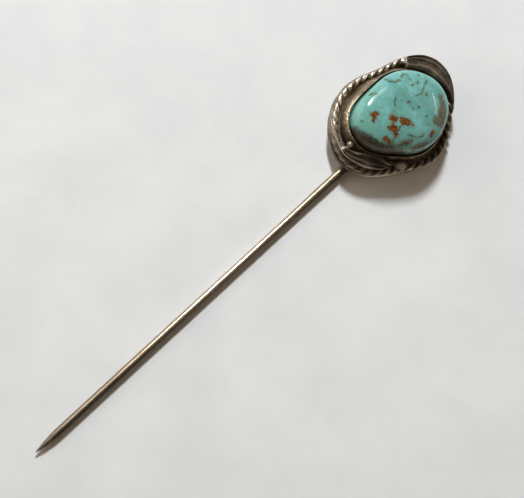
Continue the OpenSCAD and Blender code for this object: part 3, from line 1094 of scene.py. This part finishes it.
def paint(piece, material):
    piece.data.materials.clear()
    piece.data.materials.append(material)


def build_floor():
    """A flat pale sheet under the pin, far larger than the view."""
    level = cad_box[0][2]
    mesh = bpy.data.meshes.new("Floor")
    bm = bmesh.new()
    bmesh.ops.create_grid(bm, x_segments=24, y_segments=24, size=0.6)
    bmesh.ops.translate(bm, verts=bm.verts, vec=(0, 0, level))
    bm.to_mesh(mesh)
    bm.free()
    floor = bpy.data.objects.new("Floor", mesh)
    bpy.context.scene.collection.objects.link(floor)
    paint(floor, paper("Paper"))


# Lamps stand this far from the point of the head that they face, in metres
LAMP_DISTANCE = 0.60
LAMP_AIM = Vector((0, 0.008, 0))
SKY_LIGHT = (0.90, 0.965, 1.0)
PANE_LIGHT = (0.95, 0.985, 1.0)
FAR_LIGHT = (1.0, 0.99, 0.96)
WALL_LIGHT = (1.0, 0.98, 0.95)


def area_light(name, direction, size, power, colour):
    """A rectangular light, aimed at the head."""
    data = bpy.data.lights.new(name, "AREA")
    data.shape = "RECTANGLE"
    data.size, data.size_y = size
    data.energy = power
    data.color = colour
    lamp = bpy.data.objects.new(name, data)
    toward = Vector(direction).normalized()
    lamp.location = LAMP_AIM + toward * LAMP_DISTANCE
    lamp.rotation_euler = toward.to_track_quat("Z", "Y").to_euler()
    bpy.context.scene.collection.objects.link(lamp)
    return lamp


def light_stage():
    """A window on the upper left, whose light falls from one lamp and whose reflection comes
    from two others a little lower, a narrow far opening, and two dim walls on the left."""
    window = area_light("Window", (-0.95, 0.63, 1.0), (0.06, 0.08), 3.85, SKY_LIGHT)
    window.visible_glossy = False
    pane = area_light("WindowPane", (-0.80, 0.34, 1.0), (0.02, 0.09), 3.0, PANE_LIGHT)
    pane.visible_diffuse = False
    glow = area_light("WindowGlow", (-0.70, 0.44, 1.0), (0.11, 0.13), 0.12, PANE_LIGHT)
    glow.visible_diffuse = False
    area_light("FarWall", (0.324, 0.694, 0.643), (0.16, 0.010), 0.06, FAR_LIGHT)
    area_light("SideWall", (-1.0, -0.20, 0.5), (0.4, 0.3), 0.5, WALL_LIGHT)
    low_wall = area_light("LowWall", (-0.60, -0.80, 0.32), (0.5, 0.25), 0.6, WALL_LIGHT)
    low_wall.visible_glossy = False
    world = bpy.data.worlds.new("Room")
    world.use_nodes = True
    tree = world.node_tree
    direction = tree.nodes.new("ShaderNodeTexCoord")
    split = tree.nodes.new("ShaderNodeSeparateXYZ")
    tree.links.new(direction.outputs["Generated"], split.inputs[0])
    ramp = tree.nodes.new("ShaderNodeValToRGB")
    tree.links.new(split.outputs["Z"], ramp.inputs["Fac"])
    ramp.color_ramp.elements[0].color = (0.32, 0.245, 0.17, 1)
    ramp.color_ramp.elements[0].position = 0.02
    ramp.color_ramp.elements[1].color = (0.100, 0.073, 0.046, 1)
    ramp.color_ramp.elements[1].position = 0.9
    background = tree.nodes["Background"]
    tree.links.new(ramp.outputs["Color"], background.inputs["Color"])
    background.inputs["Strength"].default_value = 1.0
    bpy.context.scene.world = world


def build_camera():
    """A long lens, steeply above the pin, turned so that the stem runs to the lower left."""
    elevation = radians(73)
    turn = radians(47.3)
    distance = 0.220
    target = Vector((0.0005, -0.0155, cad_box[0][2]))
    back = Vector((0, -cos(elevation), sin(elevation)))
    data = bpy.data.cameras.new("Camera")
    data.sensor_width = 36
    data.lens = 115
    data.clip_start = 0.005
    camera = bpy.data.objects.new("Camera", data)
    look = back.to_track_quat("Z", "Y").to_matrix()
    camera.matrix_world = Matrix.Translation(target + back * distance) @ (
        look @ Matrix.Rotation(turn, 3, "Z")).to_4x4()
    bpy.context.scene.collection.objects.link(camera)
    bpy.context.scene.camera = camera


# ---------------------------------------------------------------- assembly

PLATE = silver("PlateSilver", 0.10, 0.28, 0.55, grain=1.4)
BEZEL = silver("BezelSilver", 0.0, 0.20, 0.5, grain=1.8, scratch_axis=(0.55, 0.08, 0.55),
               brushed=1.3, warmth=1.2)
WIRE = silver("WireSilver", 0.0, 0.22, 0.5)
LEAF = silver("LeafSilver", -0.08, 0.20, 0.5, grain=1.2)
STEM = silver("StemWire", 0.04, 0.28, 0.42, grain=0.4, scratch_axis=(1, 0.08, 1),
              brushed=0.2, warmth=0.8, patchy=0.35)
SOLDER = silver("Solder", 0.0, 0.4, 0.65, grain=1.8)

build_camera()
paint(build_backplate(), PLATE)
paint(build_bezel(), BEZEL)
paint(build_stone(), turquoise("Turquoise"))
paint(build_strand("RopeStrandA", "rope_strand_a", 0.0), WIRE)
paint(build_strand("RopeStrandB", "rope_strand_b", pi), WIRE)
paint(build_leaf("LeafUpper", "leaf_upper", upper_width, upper_inset), LEAF)
paint(build_leaf("LeafLower", "leaf_lower", lower_width, lower_inset), LEAF)
paint(build_raindrop(), LEAF)
paint(build_shot_bead(), LEAF)
paint(build_stem(), STEM)
paint(build_solder(), SOLDER)
paint(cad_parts["stone_shim"], card("Card"))
build_floor()
light_stage()
bpy.context.scene.view_settings.view_transform = "Standard"
